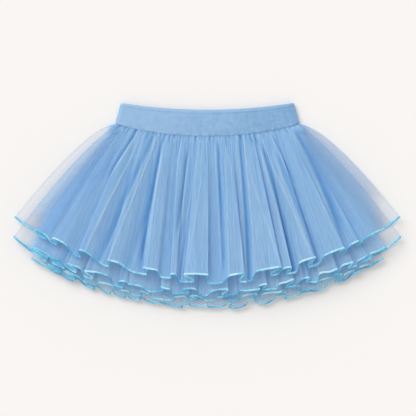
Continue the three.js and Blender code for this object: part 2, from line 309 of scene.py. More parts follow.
def knitMaterial():
    material, tree = newMaterial("blue_jersey_knit")
    uv = addNode(tree, "UVMap", uv_map="cloth").outputs[0]
    tone = attributeOf(tree, "tone")
    split = addNode(tree, "SeparateXYZ", {0: uv})
    wales = calc(tree, "SINE", calc(tree, "MULTIPLY", split.outputs[0], 2 * np.pi / knitLook["wale"]))
    courses = calc(tree, "SINE", calc(tree, "MULTIPLY", split.outputs[1], 2 * np.pi / knitLook["course"]))
    stitches = calc(tree, "MULTIPLY_ADD", wales, courses, wales)
    mottle = noiseOn(tree, uv, 1, (130, 190, 1), 3.0, 0.65)
    grain = noiseOn(tree, uv, 1, (800, 900, 1), 2.0, 0.6)
    ribs = noiseOn(tree, uv, 1, (300, 12, 1), 2.0)
    shade = weighted(tree, 0.5, (tone, 0.5), (mottle, 0.5), (grain, 0.35), (ribs, 0.14), (stitches, 0.02))
    height = calc(tree, "MULTIPLY_ADD", grain, 1.5, stitches)
    bump = addNode(tree, "Bump", {"Height": height, "Strength": 0.3, "Distance": 0.12 * mm})
    values = {
        "Base Color": colourBetween(tree, shade, knitLook["dark"], knitLook["body"], knitLook["light"]),
        "Roughness": knitLook["roughness"],
        "Specular IOR Level": 0.2,
        "Sheen Weight": 0.3,
        "Sheen Roughness": 0.45,
        "Normal": bump.outputs[0],
    }
    endMaterial(tree, values)
    return material


# Tulle layers. A line of points runs from the seam to the hem, and the lines go round the
# layer: over the front to the right and under the back to the left.

drape = dict(
    bulgeShare=0.3, bulgePower=4,       # the plan leaves the seam sideways at the sides
    openHaste=0.6, wavePower=0.9,       # how soon the plies open and the folds rise
    domeLoss=0.55, domePower=3,         # the stack is flatter at the sides
    seamCrowding=0.42,                  # folds crowd towards the sides at the seam
    lowMean=0.12, lowLean=0.22,         # a fold's low stretch, shares of the full rise
    highMean=0.92, highLean=0.16,       # its raised stretch
    leanFullAt=60, overlapFullAt=12,    # distances from the middle, in millimetres
    gatherSteepness=0.42, gatherReach=0.34,
    sideAngles=(30, 60, 90),
    perStretch=5,                       # lines in a fold's low or raised stretch
    overlapUneven=(0.5, 1.3),           # least and greatest factor on a layer's overlap
    rippleAcross=1.3, rippleMore=17,    # sideways ripples are larger, and the others more
    rippleEnds=(0.88, 0.96),            # where they die out
)

# What is added to a layer's seed for each set of its random numbers
seedFor = dict(pleats=0, tucks=9, gloss=20, ripples=30, overlap=40)

foldColumns = ("lowAt", "lowWide", "hemOut", "highAt", "highWide", "hemShort", "rise")

outerFrontFolds = namedColumns(foldColumns, [
    (-205, 7, 1, -199, 9, 3, 0.35),
    (-190, 8, 1, -180, 13, 5, 0.6),
    (-162, 10, 4, -150, 9, 6, 0.7),
    (-127, 10, 3, -113, 13, 6, 0.75),
    (-87, 17, 1, -67, 13, 8, 0.9),
    (-53, 12, 1, -40, 6, 4, 0.75),
    (-29, 17, 4, -11, 26, 7, 1),
    (12, 16, 6, 34, 14, 5, 0.85),
    (49, 13, 6, 73, 28, 7, 1),
    (84, 9, 3, 95, 8, 2, 0.7),
    (106, 9, 6, 119, 17, 6, 0.9),
    (133, 12, 5, 152, 21, 4, 0.95),
    (167, 7, 1, 178, 11, 3, 0.55),
    (188, 6, 0, 199, 14, 2, 0.35),
])

middleFrontFolds = namedColumns(foldColumns, [
    (-208, 14, 3, -203, 16, 4, 0.25),
    (-188, 12, 3, -183, 13, 5, 0.4),
    (-170, 10, 2, -162, 14, 6, 0.7),
    (-149, 10, 2, -133, 21, 6, 0.9),
    (-112, 11, 4, -103, 8, 4, 0.7),
    (-96, 4, -1, -87, 14, 4, 0.7),
    (-68, 18, 2, -49, 12, 4, 0.8),
    (-34, 16, 3, -20, 12, 5, 0.8),
    (-8, 9, 3, 14, 18, 5, 0.9),
    (32, 11, 5, 48, 16, 2, 0.7),
    (57, 4, -2, 65, 9, 7, 0.9),
    (78, 12, 2, 93, 14, 6, 0.9),
    (104, 12, 4, 118, 10, 4, 0.8),
    (131, 11, 4, 146, 19, 5, 1),
    (160, 6, 3, 170, 13, 4, 0.7),
    (181, 10, 3, 188, 12, 5, 0.4),
    (199, 12, 2, 206, 14, 4, 0.25),
])

underFrontFolds = namedColumns(foldColumns, [
    (-190, 11, 2, -185, 12, 4, 0.3),
    (-173, 10, 3, -164, 12, 4, 0.6),
    (-149, 12, 2, -124, 14, 4, 0.9),
    (-108, 6, 4, -99, 6, 2, 0.6),
    (-90, 9, 3, -75, 9, 4, 0.8),
    (-55, 24, 3, -32, 9, 3, 0.7),
    (-21, 9, 2, -11, 12, 4, 0.8),
    (4, 14, 2, 20, 10, 3, 0.7),
    (35, 10, 3, 51, 12, 4, 0.9),
    (62, 5, 2, 78, 21, 3, 1),
    (93, 6, 3, 104, 13, 4, 0.8),
    (123, 14, 4, 150, 22, 4, 1),
    (167, 7, 3, 174, 11, 3, 0.5),
    (185, 9, 2, 191, 10, 3, 0.35),
])

outerBackFolds = namedColumns(foldColumns, [
    (-186, 16, 3, -165, 14, 3, 1),
    (-146, 15, 4, -128, 12, 4, 1),
    (-110, 14, 2, -92, 12, 3, 1),
    (-74, 17, 4, -54, 13, 4, 1),
    (-37, 13, 3, -21, 11, 3, 1),
    (-3, 16, 3, 17, 14, 4, 1),
    (35, 13, 2, 52, 13, 3, 1),
    (70, 14, 4, 88, 12, 4, 1),
    (105, 13, 3, 122, 14, 3, 1),
    (141, 14, 3, 158, 12, 4, 1),
    (174, 12, 4, 190, 12, 3, 1),
])

middleBackFolds = namedColumns(foldColumns, [
    (-190, 13, 2, -174, 11, 3, 0.8),
    (-156, 14, 3, -138, 12, 4, 1),
    (-119, 16, 4, -100, 13, 3, 0.9),
    (-82, 13, 2, -65, 12, 4, 1),
    (-46, 15, 3, -27, 13, 3, 0.8),
    (-9, 13, 3, 8, 12, 4, 1),
    (27, 16, 4, 47, 14, 3, 0.9),
    (65, 13, 2, 82, 12, 4, 1),
    (99, 13, 3, 116, 13, 3, 0.9),
    (134, 14, 4, 152, 12, 4, 1),
    (169, 12, 3, 185, 12, 3, 0.8),
])

underBackFolds = namedColumns(foldColumns, [
    (-172, 9, 2, -163, 7, 3, 0.7),
    (-147, 17, 2, -136, 7, 2, 0.8),
    (-126, 11, 2, -117, 5, 3, 0.7),
    (-108, 13, 1, -99, 5, 2, 0.8),
    (-90, 11, 1, -82, 6, 3, 0.9),
    (-71, 15, 1, -60, 7, 2, 0.8),
    (-42, 24, 2, -27, 7, 3, 1),
    (-14, 18, 1, -2, 6, 2, 0.8),
    (11, 20, 1, 25, 6, 3, 0.9),
    (39, 19, 3, 55, 9, 5, 1),
    (73, 20, 1, 89, 8, 3, 0.9),
    (104, 20, 1, 120, 9, 3, 1),
    (140, 17, 2, 153, 7, 2, 0.8),
    (168, 18, 2, 182, 7, 3, 0.7),
])

# Main creases, given one by one: where each starts at the seam and ends at the hem, as shares
# of the half width there, the part of the length that it covers, its width in millimetres
# and its rise, which is below zero for a valley. A valley is sharp on its inner side.
creaseColumns = ("seamAt", "hemAt", "starts", "ends", "wide", "rise")

outerFrontCreases = namedColumns(creaseColumns, [
    (-0.97, -0.90, -0.1, 0.3, 3.0, -0.6),
    (-0.89, -0.81, 0.2, 1.2, 2.2, 0.6),
    (-0.765, -0.72, -0.1, 0.5, 3.4, -2.2),
    (-0.70, -0.63, -0.1, 1.2, 1.8, 0.9),
    (-0.575, -0.56, -0.1, 1.2, 6.0, -1.3),
    (-0.54, -0.507, -0.1, 1.2, 1.5, 1.0),
    (-0.477, -0.345, 0.05, 0.97, 4.2, -2.0),
    (-0.455, -0.314, 0.2, 1.2, 1.6, 0.7),
    (-0.41, -0.41, 0.62, 1.2, 7.0, -0.7),
    (-0.285, -0.26, -0.1, 0.25, 2.0, -1.8),
    (-0.195, -0.18, 0.15, 0.8, 3.4, -1.9),
    (-0.13, -0.14, 0.66, 1.2, 3.0, -1.2),
    (-0.076, -0.165, -0.1, 1.2, 2.8, 0.6),
    (-0.01, -0.106, 0.25, 1.2, 1.6, 0.6),
    (0.0, 0.0, 0.03, 0.22, 1.8, -1.5),
    (0.03, -0.007, 0.1, 0.8, 1.6, 0.5),
    (0.105, 0.086, 0.07, 0.97, 4.4, -2.0),
    (0.14, 0.13, -0.1, 0.16, 1.6, -1.4),
    (0.19, 0.11, -0.1, 1.2, 1.6, 0.6),
    (0.31, 0.18, -0.1, 1.2, 1.6, 0.7),
    (0.347, 0.209, -0.1, 1.2, 4.4, -2.2),
    (0.40, 0.24, -0.1, 1.2, 1.6, 0.5),
    (0.35, 0.38, 0.25, 1.2, 2.0, 0.6),
    (0.556, 0.44, 0.15, 1.2, 4.6, -2.0),
    (0.58, 0.54, -0.1, 1.2, 1.6, 0.9),
    (0.66, 0.555, 0.25, 1.2, 6.5, -1.3),
    (0.69, 0.62, 0.02, 0.5, 2.6, -1.6),
    (0.87, 0.705, -0.1, 1.2, 1.6, 0.9),
    (0.92, 0.715, 0.1, 0.95, 5.0, -1.7),
    (0.93, 0.835, 0.45, 1.2, 2.0, 0.6),
    (0.98, 0.90, -0.1, 0.25, 2.4, -0.8),
])

middleFrontCreases = namedColumns(creaseColumns, [
    (-0.84, -0.74, 0.2, 1.2, 4.0, -1.0),
    (-0.66, -0.60, 0.3, 1.2, 4.5, -1.2),
    (-0.45, -0.44, 0.2, 1.2, 4.0, -1.0),
    (-0.26, -0.24, 0.3, 1.2, 4.5, -1.3),
    (-0.04, -0.05, 0.2, 1.2, 4.0, -1.0),
    (0.22, 0.16, 0.3, 1.2, 4.5, -1.2),
    (0.42, 0.37, 0.2, 1.2, 4.0, -1.1),
    (0.60, 0.50, 0.3, 1.2, 4.5, -1.2),
    (0.80, 0.68, 0.2, 1.2, 4.0, -1.0),
])

underFrontCreases = namedColumns(creaseColumns, [
    (-0.78, -0.70, 0.3, 1.2, 4.0, -0.8),
    (-0.52, -0.50, 0.3, 1.2, 4.5, -0.9),
    (-0.30, -0.32, 0.3, 1.2, 4.0, -0.8),
    (-0.08, -0.10, 0.3, 1.2, 4.5, -0.9),
    (0.16, 0.12, 0.3, 1.2, 4.0, -0.8),
    (0.38, 0.30, 0.3, 1.2, 4.5, -0.9),
    (0.62, 0.56, 0.3, 1.2, 4.0, -0.8),
])

# The back lies on the surface, so its creases only rise from it
backCreases = namedColumns(creaseColumns, [
    (-0.86, -0.80, 0.1, 1.2, 4.0, 0.5),
    (-0.62, -0.55, 0.0, 0.9, 3.2, 0.6),
    (-0.40, -0.36, 0.2, 1.2, 3.6, 0.5),
    (-0.17, -0.20, 0.0, 1.2, 3.0, 0.6),
    (0.06, 0.02, 0.1, 0.8, 3.6, 0.5),
    (0.27, 0.22, 0.0, 1.2, 3.2, 0.6),
    (0.50, 0.43, 0.2, 1.2, 3.8, 0.5),
    (0.72, 0.66, 0.0, 1.2, 3.2, 0.6),
    (0.90, 0.84, 0.2, 1.2, 4.0, 0.4),
])

# Heights are those of the middle of each ply. overlap is how far a raised stretch reaches
# over the low one beside its outer edge, and that one under it, before each fold's random
# factor. swing is the part of the table's hem shifts that is used, and bowUp and bowDown are
# how far a raised and a low stretch bow. lighter is painted light added to the tone, most on
# the lower layers. ripple is how large the small random waves of the hem are, and ripples
# how many go round.
# cover is how much of what lies behind a ply it hides: outline along its very edge, sheer in
# the band beside that, body where it is gathered, and hemSheer beside the outline near the
# hem. rightSide multiplies sheer on the right, a denser cover that is painted shade there, and
# greyRight the cover under which the cloth takes the greyer sheer colour there, also painted
# shade. hemKeeps is the part of the cover that is left at the hem.
# flatSize is the mean width and the drop of the layer's flat cloth, in metres.
tulleLayers = dict(
    outer=dict(
        tipX=237.5, tipY=-13, hemDepth=77, hemPower=0.9, backReach=4, seamInset=0,
        controlX=146, controlY=101, sideFoldSeam=4.5, sideFoldHem=25,
        front=dict(folds=outerFrontFolds, seam=7.3, flat=10.7, open=27.5, rise=9,
                   gathers=True, creases=outerFrontCreases, pleats=0.5, overlap=5.5,
                   swing=0.8, bowUp=0.8, bowDown=1.4),
        back=dict(folds=outerBackFolds, seam=0.5, flat=0.5, open=0.5, rise=0,
                  gathers=False, creases=backCreases, pleats=0.15, overlap=0,
                  swing=0.8, bowUp=0.6, bowDown=1.0),
        flatSize=(1.25, 0.17),
        columns=1320, rows=64, seed=11, lighter=0.06, ripple=0.5, ripples=110,
        cover=dict(outline=0.12, sheer=0.065, body=0.8, bandSeam=5, bandHem=16, fade=34,
                   hemSheer=0.065, hemBand=16, rightSide=3.6, greyRight=1.4, hemKeeps=0.95),
    ),
    middle=dict(
        tipX=239, tipY=-37, hemDepth=70, hemPower=0.8, backReach=4, seamInset=1.5,
        controlX=157, controlY=74, sideFoldSeam=3.2, sideFoldHem=22,
        front=dict(folds=middleFrontFolds, seam=6, flat=8.8, open=18, rise=6.5,
                   gathers=False, creases=middleFrontCreases, pleats=0.45, overlap=7.0,
                   swing=0.7, bowUp=0.7, bowDown=1.2),
        back=dict(folds=middleBackFolds, seam=1.8, flat=3.1, open=3.1, rise=1.2,
                  gathers=False, creases=backCreases, pleats=0.15, overlap=0,
                  swing=0.7, bowUp=0.6, bowDown=0.8),
        flatSize=(1.25, 0.19),
        columns=1300, rows=44, seed=23, lighter=0.42, ripple=1.7, ripples=120,
        cover=dict(outline=0.1, sheer=0.3, body=0.7, bandSeam=1, bandHem=3, fade=25,
                   hemSheer=0.07, hemBand=18, rightSide=1.0, greyRight=1.0, hemKeeps=0.9),
    ),
    under=dict(
        tipX=218, tipY=-64, hemDepth=51, hemPower=0.9, backReach=9, seamInset=3,
        controlX=156, controlY=60, sideFoldSeam=1.8, sideFoldHem=20,
        front=dict(folds=underFrontFolds, seam=4.7, flat=6.9, open=10.6, rise=5,
                   gathers=False, creases=underFrontCreases, pleats=0.4, overlap=6.5,
                   swing=0.7, bowUp=0.4, bowDown=0.7),
        back=dict(folds=underBackFolds, seam=3.1, flat=5, open=6, rise=2.5,
                  gathers=False, creases=backCreases, pleats=0.15, overlap=2.2,
                  swing=0.7, bowUp=0.3, bowDown=0.8),
        flatSize=(1.08, 0.2),
        columns=1240, rows=40, seed=37, lighter=0.56, ripple=1.5, ripples=105,
        cover=dict(outline=0.1, sheer=0.3, body=0.65, bandSeam=1, bandHem=3, fade=20,
                   hemSheer=0.09, hemBand=14, rightSide=1.0, greyRight=1.0, hemKeeps=0.6),
    ),
)


def layerLines(layer, side, hemX, seamX, hemShift, lift, gather):
    # the hem lies below the tips by a power of 1 - share squared, and the stack opens in a
    # dome that falls with the cube of the share
    share = np.clip(np.abs(hemX) / layer["tipX"], 0, 1)
    isFront = side is layer["front"]
    reach = 0 if isFront else layer["backReach"]
    dome = 1 - drape["domeLoss"] * share ** drape["domePower"]
    depth = layer["hemDepth"] * (1 - share**2) ** layer["hemPower"] + reach * (1 - share**2)
    return dict(
        seamX=seamX,
        seamY=seamLineY(seamX / seam["halfWidth"]) - seam["gap"],
        seamZ=np.full_like(hemX, side["seam"]),
        hemX=hemX,
        hemY=layer["tipY"] - depth + hemShift,
        hemZ=mix(side["flat"], side["open"], dome),
        lift=lift * side["rise"] * dome,
        gather=gather,
        up=np.full_like(hemX, 1.0 if isFront else -1.0),
    )


def foldLines(layer, side):
    # the lines of each fold's low and raised stretch, evenly spaced at the seam between the
    # fold's borders and as wide as the table says at the hem
    folds = side["folds"]
    per = drape["perStretch"]
    hemEnd = layer["tipX"] - layer["sideFoldHem"]
    seamEnd = seam["halfWidth"] - layer["seamInset"] - layer["sideFoldSeam"]
    before = folds["highAt"] + folds["highWide"] / 2
    after = folds["lowAt"] - folds["lowWide"] / 2
    borders = np.concatenate([[-hemEnd], (before[:-1] + after[1:]) / 2, [hemEnd]]) / hemEnd
    atSeam = seamEnd * borders * (1 + drape["seamCrowding"] * (1 - borders**2))
    spacing = (np.diff(atSeam) / (2 * per))[:, None]
    n = np.arange(2 * per)[None, :]
    raised = n >= per
    place = (n % per) / (per - 1) - 0.5
    middle = np.where(raised, folds["highAt"][:, None], folds["lowAt"][:, None])
    width = np.where(raised, folds["highWide"][:, None], folds["lowWide"][:, None])
    shift = np.where(raised, folds["hemShort"][:, None], -folds["hemOut"][:, None])
    # each stretch is an arc of the hem: 1 - place squared, upwards if raised, else downwards
    bow = 1 - (2 * place) ** 2
    shift = side["swing"] * shift + bow * np.where(raised, side["bowUp"], -side["bowDown"])
    lean = place * np.clip(middle / drape["leanFullAt"], -1, 1)
    high = drape["highMean"] + drape["highLean"] * lean
    low = drape["lowMean"] + drape["lowLean"] * lean
    lift = folds["rise"][:, None] * np.where(raised, high, low)
    gathered = (n % 2 == 1) & side["gathers"]
    gather = np.where(gathered, drape["gatherSteepness"] * spacing, 0.0)
    seamX = atSeam[:-1, None] + (n + 0.5) * spacing
    # a raised stretch reaches out over the low one beside it, and that one in under it, by
    # an uneven amount that is never more than the low stretch is wide
    random = np.random.default_rng(layer["seed"] + seedFor["overlap"])
    uneven = random.uniform(*drape["overlapUneven"], len(middle))
    reach = np.minimum(side["overlap"] * uneven, folds["lowWide"])[:, None]
    outward = 2 * place * np.sign(middle) * np.clip(np.abs(middle) / drape["overlapFullAt"], 0, 1)
    over = np.where(raised, np.clip(outward, 0, 1), -np.clip(-outward, 0, 1)) * np.sign(middle)
    hemX = middle + place * width + reach * over
    flat = [np.broadcast_to(a, hemX.shape).ravel() for a in (hemX, seamX, shift, lift, gather)]
    return layerLines(layer, side, *flat)


def sideLines(layer, direction, side, degrees):
    # the rounded side fold, from 0 degrees at the tip to 90 where a side starts
    angle = np.radians(np.array(degrees, dtype=float))
    inset = 1 - np.cos(angle)
    hemX = layer["tipX"] - layer["sideFoldHem"] * inset
    seamX = seam["halfWidth"] - layer["seamInset"] - layer["sideFoldSeam"] * inset
    none = np.zeros_like(hemX)
    lines = layerLines(layer, side, direction * hemX, direction * seamX, none, none, none)
    start = np.array([layer["tipX"] - layer["sideFoldHem"]])
    top = layerLines(layer, layer["front"], start, start, 0, 0, 0)["hemZ"]
    bottom = layerLines(layer, layer["back"], start, start, 0, 0, 0)["hemZ"]
    up = np.sin(angle) * (1 if side is layer["front"] else -1)
    lines["hemZ"] = mix(bottom, top, 0.5 + up / 2)
    lines["seamZ"] = mix(layer["back"]["seam"], layer["front"]["seam"], 0.5 + up / 2)
    lines["gather"] = none
    lines["lift"] = none
    lines["up"] = up
    return lines


def backwards(lines):
    return {name: values[::-1] for name, values in lines.items()}


def allLines(layer):
    front, back = layer["front"], layer["back"]
    rising = drape["sideAngles"]
    falling = rising[::-1]
    parts = [
        sideLines(layer, -1, front, (0,)),
        sideLines(layer, -1, front, rising),
        foldLines(layer, front),
        sideLines(layer, 1, front, falling),
        sideLines(layer, 1, front, (0,)),
        sideLines(layer, 1, back, rising),
        backwards(foldLines(layer, back)),
        sideLines(layer, -1, back, falling),
    ]
    return {name: np.concatenate([part[name] for part in parts]) for name in parts[0]}


def roundedLines(layer, lines, softness):
    # read at even steps of the hem's length, then blurred round the closed hem by a normal
    # curve as wide as softness, so that the folds turn in soft bends. Small random waves
    # along the hem and square to it are added between the tips.
    columns = layer["columns"]
    x, y, z = lines["hemX"], lines["hemY"], lines["hemZ"] + lines["lift"]
    ahead = [np.roll(a, -1) - a for a in (x, y, z)]
    along = np.concatenate([[0], np.cumsum(np.sqrt(sum(a**2 for a in ahead)))])
    length = along[-1]
    places = np.arange(columns) * length / columns
    frequencies = np.fft.rfftfreq(columns, length / columns)
    blur = np.exp(-2 * (np.pi * frequencies * softness) ** 2)
    rounded = {}
    for name, values in lines.items():
        even = np.interp(places, along, np.append(values, values[0]))
        rounded[name] = np.fft.irfft(np.fft.rfft(even) * blur, columns)
    seed, waves = layer["seed"] + seedFor["ripples"], layer["ripples"]
    more = waves + drape["rippleMore"]
    inside = 1 - smoothStep(*drape["rippleEnds"], np.abs(rounded["hemX"]) / layer["tipX"])
    rounded["hemX"] += layer["ripple"] * drape["rippleAcross"] * inside * evenNoise(columns, waves, seed)
    rounded["hemY"] += layer["ripple"] * inside * evenNoise(columns, more, seed + 1)
    return rounded, length


def sideOutline(layer, share):
    # x of the side outline: a curve from the seam's end by the side control to the tip
    seamEnd = seam["halfWidth"] - layer["seamInset"]
    middle = 2 * share * (1 - share)
    return (1 - share) ** 2 * seamEnd + middle * layer["controlX"] + share**2 * layer["tipX"]


def layerPoints(layer, lines, share):
    # each line is a curve of second degree in plan. Its height opens from the seam's to the
    # hem's, plus the fold's lift times a power of share, plus the gather, which fades.
    side = np.clip(np.abs(lines["hemX"]) / layer["tipX"], 0, 1)
    bulge = side ** drape["bulgePower"]
    seamEnd = seam["halfWidth"] - layer["seamInset"]
    sideX = layer["controlX"] - mix(seamEnd, layer["tipX"], drape["bulgeShare"])
    sideY = layer["controlY"] - mix(seam["endsY"], layer["tipY"], drape["bulgeShare"])
    controlX = mix(lines["seamX"], lines["hemX"], drape["bulgeShare"])
    controlX = controlX + np.sign(lines["hemX"]) * bulge * sideX
    controlY = mix(lines["seamY"], lines["hemY"], drape["bulgeShare"]) + bulge * sideY
    start, middle, end = (1 - share) ** 2, 2 * share * (1 - share), share**2
    opened = share * (1 + drape["openHaste"] * (1 - share))
    risen = np.clip(share, 0, 1) ** drape["wavePower"]   # the first rows lie above the seam
    x = start * lines["seamX"] + middle * controlX + end * lines["hemX"]
    y = start * lines["seamY"] + middle * controlY + end * lines["hemY"]
    z = mix(lines["seamZ"], lines["hemZ"], opened) + lines["lift"] * risen
    gather = np.clip(1 - share / drape["gatherReach"], 0, 1) ** 2
    return np.stack([x, y, z + lines["gather"] * gather], axis=-1)


creaseShape = dict(
    valleyInner=0.3, ridgeWide=0.6,      # shares of a crease's width
    seamWide=0.6, widening=1.6,          # narrower at the seam, and how fast that ends
    fadeIn=0.1, fadeOut=0.12, overrun=0.05,
    seamRise=0.35, fullRiseAt=0.3,       # lower at the seam, up to that share of the length
    # darkestAt, ridgeTone and edgeTone set the painted shade of a valley and the painted light of a ridge
    # and of a valley's edge
    darkestAt=1.8, ridgeTone=0.9,
    edgeAway=1.7, edgeGap=0.4, edgeWide=0.9, edgeRise=0.12, edgeTone=0.4,
)


def creaseRelief(creases, x, share, halfWidth):
    # each crease is a bell across its line, sharp on its inner side where it is a valley, and
    # fades in and out along the length. The panel beside a valley's inner side ends in a thin
    # raised edge. Returns the height and the tone: painted shade in valleys, painted light on
    # ridges and edges.
    shape = creaseShape
    height = np.zeros_like(x)
    tone = np.zeros_like(x)
    for seamAt, hemAt, starts, ends, wide, rise in zip(*creases.values()):
        at = mix(seamAt, hemAt, share)
        outward = (x - at * halfWidth) * np.where(at < 0, -1, 1)
        isValley = rise < 0
        inner = shape["valleyInner" if isValley else "ridgeWide"] * wide
        outer = wide if isValley else shape["ridgeWide"] * wide
        spread = mix(shape["seamWide"], 1.0, np.clip(share * shape["widening"], 0, 1))
        profile = bell(outward, np.where(outward > 0, outer, inner) * spread)
        fade = smoothStep(starts - shape["overrun"], starts + shape["fadeIn"], share)
        fade = fade * (1 - smoothStep(ends - shape["fadeOut"], ends + shape["overrun"], share))
        room = mix(shape["seamRise"], 1.0, np.clip(share / shape["fullRiseAt"], 0, 1))
        height += rise * profile * fade * room
        tone += (rise / shape["darkestAt"] if isValley else shape["ridgeTone"] * rise) * profile * fade
        if isValley:
            edge = bell(outward + shape["edgeAway"] * inner + shape["edgeGap"], shape["edgeWide"]) * fade
            height -= shape["edgeRise"] * rise * edge * room
            tone -= shape["edgeTone"] * rise * edge
    return height, np.clip(tone, -1, 1)


# Short tucks where the tulle is gathered into the seam, each darkened with painted shade; lengths are
# shares of the drop
tucks = dict(
    count=36, shift=0.3, reach=0.97,
    wide=1.7, widths=(0.7, 1.3), innerWide=0.45,
    depth=0.8, depths=(0.5, 1.0), dark=1.1,
    starts=(-0.02, 0.015), lengths=(0.05, 0.16), fullTo=0.3,
)


def tuckRelief(seed, x, share, halfWidth):
    # evenly spaced wedges but for a random shift. Each is a bell across, sharp on its inner
    # side, that starts at the seam and fades out over its length. 1 is the deepest.
    random = np.random.default_rng(seed)
    count = tucks["count"]
    shifts = random.uniform(-tucks["shift"], tucks["shift"], count)
    places = (np.arange(count) + 0.5 + shifts) / count * 2 - 1
    ends = random.uniform(*tucks["lengths"], count)
    widths = tucks["wide"] * random.uniform(*tucks["widths"], count)
    depths = random.uniform(*tucks["depths"], count)
    relief = np.zeros_like(x)
    for place, end, width, depth in zip(places, ends, widths, depths):
        outward = (x - tucks["reach"] * place * halfWidth) * np.sign(place)
        fade = smoothStep(*tucks["starts"], share) * (1 - smoothStep(tucks["fullTo"] * end, end, share))
        relief += depth * fade * bell(outward, np.where(outward > 0, width, tucks["innerWide"] * width))
    return np.clip(relief, 0, 1)


# Fine pleats: how many go round, how many finer ones are added and how strongly
finePleats = dict(
    atSeam=(210, 390, 0.6), atMiddle=(150, 330, 0.6), atHem=(110, 240, 0.5),
    toMiddle=(0.12, 0.4), toHem=(0.5, 0.95),
    sharpness=1.5, hemDepth=0.5, shallower=(0.1, 0.6),
)


def pleatWaves(columns, place, seed):
    # a set of random waves round the layer plus a share of finer ones
    count, finer, strength = finePleats[place]
    return evenNoise(columns, count, seed) + strength * evenNoise(columns, finer, seed + 1)


def pleatRelief(layer, columns, share):
    # random folds with sharp crests, fewer and wider from the seam by the middle to the
    # hem, and shallower there, with a blend from each set to the next
    seed = layer["seed"] + seedFor["pleats"]
    atSeam = pleatWaves(columns, "atSeam", seed)
    atMiddle = pleatWaves(columns, "atMiddle", seed + 2)
    atHem = pleatWaves(columns, "atHem", seed + 4)
    first = smoothStep(*finePleats["toMiddle"], share)
    second = smoothStep(*finePleats["toHem"], share)
    blend = mix(mix(atSeam, atMiddle, first), atHem, second)
    folded = 1 - np.abs(blend) * finePleats["sharpness"]
    return folded * mix(1.0, finePleats["hemDepth"], smoothStep(*finePleats["shallower"], share))


surfaceLook = dict(
    facing=(0.55, 0.95),                 # how far a line has turned to count as front or back
    tuckedIn=0.7, tuckedTo=(-0.008, 0.016),
    # the tones, the light below the seam, seamShade and hemLighter are painted light and shade added to the
    # tone
    creaseTone=0.85, backTone=0.5, pleatTone=0.14,
    foldTone=0.3, foldFullAt=0.6,
    rollPaintedLight=0.25, rollLightAt=0.03, rollLightWide=0.04,    # painted light in a band just below the seam
    seamShade=0.15, seamShadeWide=0.008,
    hemLighter=0.15, steepTone=0.6, steepFrom=(0.3, 0.85),
)


def layerSurface(layer, lines, share):
    # the drape plus creases and fine pleats, with the painted light and shade of each and the cover
    look = surfaceLook
    points = layerPoints(layer, lines, share)
    x = points[..., 0]
    halfWidth = sideOutline(layer, share)
    top = smoothStep(*look["facing"], lines["up"])
    bottom = smoothStep(*look["facing"], -lines["up"])
    frontHeight, frontTone = creaseRelief(layer["front"]["creases"], x, share, halfWidth)
    backHeight, backTone = creaseRelief(layer["back"]["creases"], x, share, halfWidth)
    pleats = pleatRelief(layer, x.shape[1], share)
    frontHeight = frontHeight + layer["front"]["pleats"] * pleats
    backHeight = np.clip(backHeight, 0, None) + layer["back"]["pleats"] * np.clip(pleats, 0, None)
    points[..., 2] += top * frontHeight + bottom * backHeight
    # short tucks below the seam, and the cloth comes out from under the waistband
    tucked = tuckRelief(layer["seed"] + seedFor["tucks"], x, share, halfWidth)
    points[..., 2] -= top * tucks["depth"] * tucked
    points[..., 2] -= top * look["tuckedIn"] * (1 - smoothStep(*look["tuckedTo"], share))
    # painted light and shade: crease valleys and tucks darker, a light band below the seam with shade right
    # at it, raised stretches lighter than low ones, and the pleats' crests lighter
    fold = (lines["lift"] / layer["front"]["rise"] - 0.5) * smoothStep(0.0, look["foldFullAt"], share)
    seamPaintedLightShade = look["rollPaintedLight"] * bell(share - look["rollLightAt"], look["rollLightWide"])
    seamPaintedLightShade = seamPaintedLightShade - look["seamShade"] * bell(share, look["seamShadeWide"])
    tone = look["creaseTone"] * frontTone - tucks["dark"] * tucked + seamPaintedLightShade
    tone = top * (tone + look["foldTone"] * fold + look["pleatTone"] * pleats)
    # painted light lifts each layer, more towards the hem, and the back creases' ridges are painted lighter
    lighter = mix(layer["lighter"], layer["lighter"] + look["hemLighter"], share)
    tone = tone + bottom * look["backTone"] * backTone + lighter
    # painted light on the steep walls of the folds
    across = np.roll(points, -1, axis=1) - np.roll(points, 1, axis=1)
    steep = np.abs(across[..., 2]) / np.maximum(np.linalg.norm(across, axis=-1), 1e-6)
    tone = tone + top * look["steepTone"] * smoothStep(*look["steepFrom"], steep)
    cover, dense = layerCover(layer["cover"], x, halfWidth, share, tone, top * steep)
    return points, np.clip(tone, -1, 1), cover, dense


coverShape = dict(
    fadeFrom=(-0.1, 0.5), gatheredTo=(0.03, 0.2), valleys=0.12,
    steepCover=0.97, steepPart=0.7, steepFrom=(0.3, 0.9),
    tipFrom=(0.78, 0.92), tipSoft=5, hemFrom=0.88, outlineWide=1.1,
)


